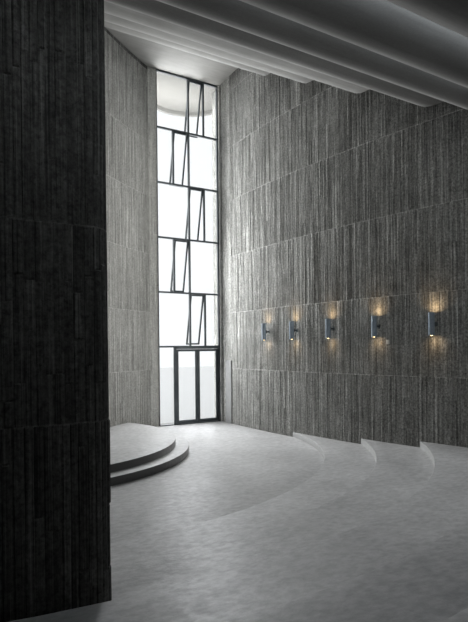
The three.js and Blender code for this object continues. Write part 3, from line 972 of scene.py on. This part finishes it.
def build_rim():
    """A curved downstand with a rounded foot. Its top reaches a little into the slab."""
    count = 48
    foot_count = 8
    reach_in = 0.002
    foot = RIM_HEIGHT - RIM_WIDTH / 2
    section = [(0.0, reach_in), (0.0, -foot)]
    for i in range(1, foot_count):
        turn = math.pi * i / foot_count
        inward = RIM_WIDTH / 2 * (1.0 - math.cos(turn))
        section.append((inward, -foot - RIM_WIDTH / 2 * math.sin(turn)))
    section += [(RIM_WIDTH, -foot), (RIM_WIDTH, reach_in)]
    shape = bmesh.new()
    loops = []
    for i in range(count + 1):
        way = bearing(TIP_TURN[0] + (TIP_TURN[1] - TIP_TURN[0]) * i / count)
        loop = []
        for inward, drop in section:
            spot = TIP_CENTRE + way * (TIP_RADIUS - inward)
            loop.append(shape.verts.new(plan(spot, TOP_SOFFIT + drop)))
        loops.append(loop)
    for first, second in zip(loops, loops[1:]):
        bridge(shape, first, second)
    shape.faces.new(list(reversed(loops[0])))
    shape.faces.new(loops[-1])
    bmesh.ops.recalc_face_normals(shape, faces=shape.faces)
    add_shape(shape, "roof_rim", PALE_PLASTER)


build_rim()


# Steel and glass
def narrow_left_bar(shape):
    """The tall window's left bar lies mostly in the wall's rebate, so only its edge shows."""
    near = 0.002
    for corner in shape.verts:
        if abs(corner.co.x - window_low.x - BAR) < near:
            corner.co.x = window_low.x + BAR_EDGE


softened("window_frame", STEEL, STEEL_EDGE, change=narrow_left_bar)
softened("side_screen_frame", STEEL, STEEL_EDGE)
for side in ("left", "right"):
    softened(f"door_leaf_{side}", STEEL, STEEL_EDGE, body=f"{side}_leaf")
for node, owner in nodes.items():
    if "glass" in node:
        owner.data.materials.clear()
        owner.data.materials.append(GLASS)


# Window sashes
BAR_FACE = 0.03
MODULE = 0.5
TRANSOM = 2.45
ROW_HEIGHT = 1.548
SASH_MODULES = [2, 1, 2, 1, 2]          # from the lowest row up
SASH_RAIL = 0.042
SASH_DEPTH = 0.044
SASH_GAP = 0.003
SASH_ANGLE = math.radians(12.0)
PANE = 0.008
PANE_HOLD = 0.001            # how far the pane reaches into the rails


def build_sash(row):
    node = f"window_sash_{row + 1}"
    left = WINDOW_LEFT + MODULE * SASH_MODULES[row] + BAR / 2 + SASH_GAP
    width = MODULE - BAR - 2 * SASH_GAP
    low = TRANSOM + ROW_HEIGHT * row + BAR / 2
    high = TRANSOM + ROW_HEIGHT * (row + 1) - BAR / 2
    if row == len(SASH_MODULES) - 1:
        high = window_high.z - BAR
    height = high - low - 2 * SASH_GAP
    hang = Matrix.Translation(plan((left, BAR_FACE), high)) @ Matrix.Rotation(SASH_ANGLE, 4, "X")

    shape = bmesh.new()
    add_ring(shape, width, height, SASH_RAIL, -SASH_DEPTH, 0.0)
    ease_edges(shape, STEEL_EDGE)
    shape.transform(hang)
    add_shape(shape, f"{node}_frame", STEEL, replaced=[node])

    shape = bmesh.new()
    middle = -SASH_DEPTH / 2
    inset = SASH_RAIL - PANE_HOLD
    add_box(
        shape,
        (inset, middle - PANE / 2, inset - height),
        (width - inset, middle + PANE / 2, -inset),
    )
    shape.transform(hang)
    add_shape(shape, f"{node}_pane", GLASS)


for row in range(len(SASH_MODULES)):
    build_sash(row)

# Wall lights. A light's own x points into the room from the wall's face.
LIGHTS = 5
LIGHT_RADIUS = 0.057
LIGHT_HEIGHT = 0.43
LIGHT_STANDOFF = 0.165
LIGHT_RECESS = 0.016
LIGHT_SHELL = 0.004
LAMP_RADIUS = 0.036
ARM_RADIUS = 0.016
SADDLE_HALF = (0.026, 0.042)  # half of its width and of its height
SADDLE_BACK = -0.016         # from the tube's back
SADDLE_FRONT = 0.012
PLATE_HALF = (0.029, 0.044)
PLATE_BACK = -0.004          # from the wall's face
PLATE_FRONT = 0.012
LAMP_RISES = [(-1, 0.022), (1, 0.012)]      # the lamps' domes, below and above
GLOW_POWERS = [(1, "up", 0.62), (-1, "down", 0.36)]
GLOW_TINT = (1.0, 0.70, 0.40)
GLOW_SPREAD = 130.0
GLOW_LIFT = 0.025            # clear of the domes
GLOW_LEAN = -0.7             # towards the wall


def light_tube(shape):
    end = LIGHT_HEIGHT / 2
    bore = LIGHT_RADIUS - LIGHT_SHELL
    seat = end - LIGHT_RECESS
    ease = 0.0012
    upper = [
        (LIGHT_RADIUS, end - ease),
        (LIGHT_RADIUS - ease, end),
        (bore + ease, end),
        (bore, end - ease),
        (bore, seat + 0.008),
        (LAMP_RADIUS + 0.006, seat),
        (LAMP_RADIUS + 0.003, seat - 0.004),
        (0.0, seat - 0.004),
    ]
    lower = [(radius, -height) for radius, height in reversed(upper)]
    add_turned(shape, lower + upper)


def light_bracket(shape):
    """A saddle on the tube's back, a round arm and a small wall plate."""
    back = LIGHT_STANDOFF - LIGHT_RADIUS
    for (wide, high), start, end in [
        (SADDLE_HALF, back + SADDLE_BACK, back + SADDLE_FRONT),
        (PLATE_HALF, PLATE_BACK, PLATE_FRONT),
    ]:
        add_box(shape, (start, -wide, -high), (end, wide, high))
    turn = Matrix.Rotation(math.pi / 2, 4, "Y")
    arm = Matrix.Translation((back / 2, 0.0, 0.0)) @ turn
    bmesh.ops.create_cone(
        shape,
        cap_ends=True,
        segments=24,
        radius1=ARM_RADIUS,
        radius2=ARM_RADIUS,
        depth=back,
        matrix=arm,
    )


def build_light(number):
    node = f"wall_light_{number}"
    low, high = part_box(node)
    centre = Vector((low.x + LIGHT_RADIUS, (low.y + high.y) / 2, (low.z + high.z) / 2))
    into_room = (centre.xy - ORIGIN.xy - RIGHT_CENTRE).normalized()
    across = Vector((-into_room.y, into_room.x))
    seat = centre.xy - into_room * LIGHT_STANDOFF
    turn = Matrix((
        (into_room.x, across.x, 0.0, seat.x),
        (into_room.y, across.y, 0.0, seat.y),
        (0.0, 0.0, 1.0, centre.z),
        (0.0, 0.0, 0.0, 1.0),
    ))
    tube_place = turn @ Matrix.Translation((LIGHT_STANDOFF, 0.0, 0.0))

    shape = bmesh.new()
    light_tube(shape)
    shape.transform(tube_place)
    add_shape(shape, f"{node}_tube", LAMP_METAL, replaced=[node])

    shape = bmesh.new()
    light_bracket(shape)
    ease_edges(shape, STEEL_EDGE)
    shape.transform(turn)
    add_shape(shape, f"{node}_bracket", STEEL)

    shape = bmesh.new()
    level = LIGHT_HEIGHT / 2 - LIGHT_RECESS
    for side, rise in LAMP_RISES:
        dome = [
            (LAMP_RADIUS, side * (level - 0.002)),
            (LAMP_RADIUS * 0.9, side * (level + 0.45 * rise)),
            (LAMP_RADIUS * 0.5, side * (level + 0.85 * rise)),
            (0.0, side * (level + rise)),
        ]
        add_turned(shape, dome, segments=32)
    shape.transform(tube_place)
    add_shape(shape, f"{node}_lamps", LAMP_GLOW, degrees=60.0)

    for side, name, power in GLOW_POWERS:
        place = tube_place @ Vector((0.0, 0.0, side * (level + GLOW_LIFT)))
        towards = place + turn.to_3x3() @ Vector((GLOW_LEAN, 0.0, side))
        size = (2 * LAMP_RADIUS,)
        add_lamp(f"{node}_{name}", place, towards, size, power, GLOW_TINT, GLOW_SPREAD)


for number in range(1, LIGHTS + 1):
    build_light(number)

# Other fittings
softened("service_panel", PANEL, 0.004)
softened("switch_box", PLASTIC, 0.006)

# Stage
STAGE_REACH = 60.0
STAGE_LEVEL = -0.002
stage_mesh = bpy.data.meshes.new("stage")
stage_corners = [
    (x * STAGE_REACH, y * STAGE_REACH, STAGE_LEVEL)
    for x, y in [(-1, -1), (1, -1), (1, 1), (-1, 1)]
]
stage_mesh.from_pydata(stage_corners, [], [(0, 1, 2, 3)])
stage = bpy.data.objects.new("stage", stage_mesh)
stage_mesh.materials.append(stage_material())
bpy.context.scene.collection.objects.link(stage)


# Light
world = bpy.data.worlds.new("soft_sky")
bpy.context.scene.world = world
world.use_nodes = True
sky = world.node_tree.nodes["Background"]
sky.inputs["Color"].default_value = (0.95, 0.975, 1.0, 1.0)
sky.inputs["Strength"].default_value = 1.2

# The lamps that stand for the window's daylight don't light its own steel and glass
window_parts = bpy.data.collections.new("window_parts")
for piece in bpy.context.scene.objects:
    if piece.name.startswith(("window_", "door_")):
        window_parts.objects.link(piece)
for entry in window_parts.collection_objects:
    entry.light_linking.link_state = "EXCLUDE"

window_middle = (WINDOW_LEFT + WINDOW_RIGHT) / 2
DAYLIGHT = (0.96, 0.98, 1.0)
LAMP_LINE = 0.2              # plan y of the lamps, just outside the tall window
LAMP_X = window_middle - 0.27
LAMP_AIM_X = window_middle - 0.22
LAMP_SIZE = (1.36, 0.98)
LAMP_LEVEL = 0.72            # height of the lowest lamp. Each next one is a metre higher.
LAMP_FALL = 0.24             # how far a lamp's aim drops in a metre
LAMP_POWERS = [24.0, 56.0, 112.0, 144.0, 150.0, 148.0, 136.0, 108.0, 86.0, 58.0]
LAMP_TURN = 0.035            # each lamp looks a little more to the left than the one below
for level, power in enumerate(LAMP_POWERS):
    height = LAMP_LEVEL + level
    daylight = add_lamp(
        f"window_daylight_{level + 1}",
        plan((LAMP_X, LAMP_LINE), height),
        plan((LAMP_AIM_X - LAMP_TURN * level, LAMP_LINE - 1.0), height - LAMP_FALL),
        LAMP_SIZE,
        power,
        DAYLIGHT,
        degrees=143.0,
    )
    daylight.visible_glossy = False
    daylight.light_linking.receiver_collection = window_parts
sheen = add_lamp(
    "window_sheen",
    plan((window_middle, LAMP_LINE), 6.2),
    plan((window_middle, -1.0), 6.2),
    (1.9, 8.0),
    145.0,
    DAYLIGHT,
)
sheen.visible_diffuse = False
add_lamp(
    "roof_tip_daylight",
    plan((window_middle, 1.5), 8.0),
    plan((window_middle, 1.3), 10.0),
    (2.6, 1.2),
    78.0,
    (1.0, 0.99, 0.96),
    degrees=120.0,
)
reveal_light = add_lamp(
    "right_reveal_daylight",
    plan((-0.6, 0.42), 5.2),
    plan((0.4, 0.42), 5.2),
    (0.3, 9.8),
    60.0,
    (0.97, 0.985, 1.0),
    degrees=80.0,
)
reveal_light.light_linking.receiver_collection = window_parts
add_lamp(
    "right_wall_bounce",
    plan((-0.4, -2.4), 4.6),
    plan((-4.0, -2.0), 4.4),
    (3.6, 7.6),
    95.0,
    (1.0, 0.99, 0.97),
    degrees=120.0,
)

# Daylight through the two lowest glazed strips, thrown up on the soffit in front of them
for step, power in [(6, 170.0), (7, 300.0)]:
    edge = FIRST_STEP - STEP_RUN * (step - 1)
    deck = TOP_SOFFIT - STEP_RISE * step + SLAB
    middle = -3.0 - 0.35 * step
    add_lamp(
        f"soffit_daylight_{step}",
        plan((middle, edge + 0.02), deck + 0.08),
        plan((middle, edge + 0.486), deck + 1.08),
        (3.5 + 0.7 * step, 0.2),
        power,
        (0.86, 0.93, 1.0),
        degrees=80.0,
    )

# Camera, at the photograph's viewpoint
CAMERA_SPOT = Vector((-8.6316, -14.5472))
CAMERA_HEIGHT = 2.1889
YAW = 0.5643
PITCH = -0.0078
ROLL = -0.0094
view = bpy.data.cameras.new("view")
view.lens = 32.56
view.sensor_width = 36.0
view.shift_y = 0.0669
view.clip_start = 0.05
view.clip_end = 300.0
camera = bpy.data.objects.new("view", view)
camera.matrix_world = (
    Matrix.Translation(plan(CAMERA_SPOT, FLOOR + CAMERA_HEIGHT))
    @ Matrix.Rotation(-YAW, 4, "Z")
    @ Matrix.Rotation(math.pi / 2 + PITCH, 4, "X")
    @ Matrix.Rotation(ROLL, 4, "Z")
)
bpy.context.scene.collection.objects.link(camera)
bpy.context.scene.camera = camera
bpy.context.scene.view_settings.view_transform = "Standard"
bpy.context.scene.cycles.diffuse_bounces = 8

bpy.context.view_layer.update()
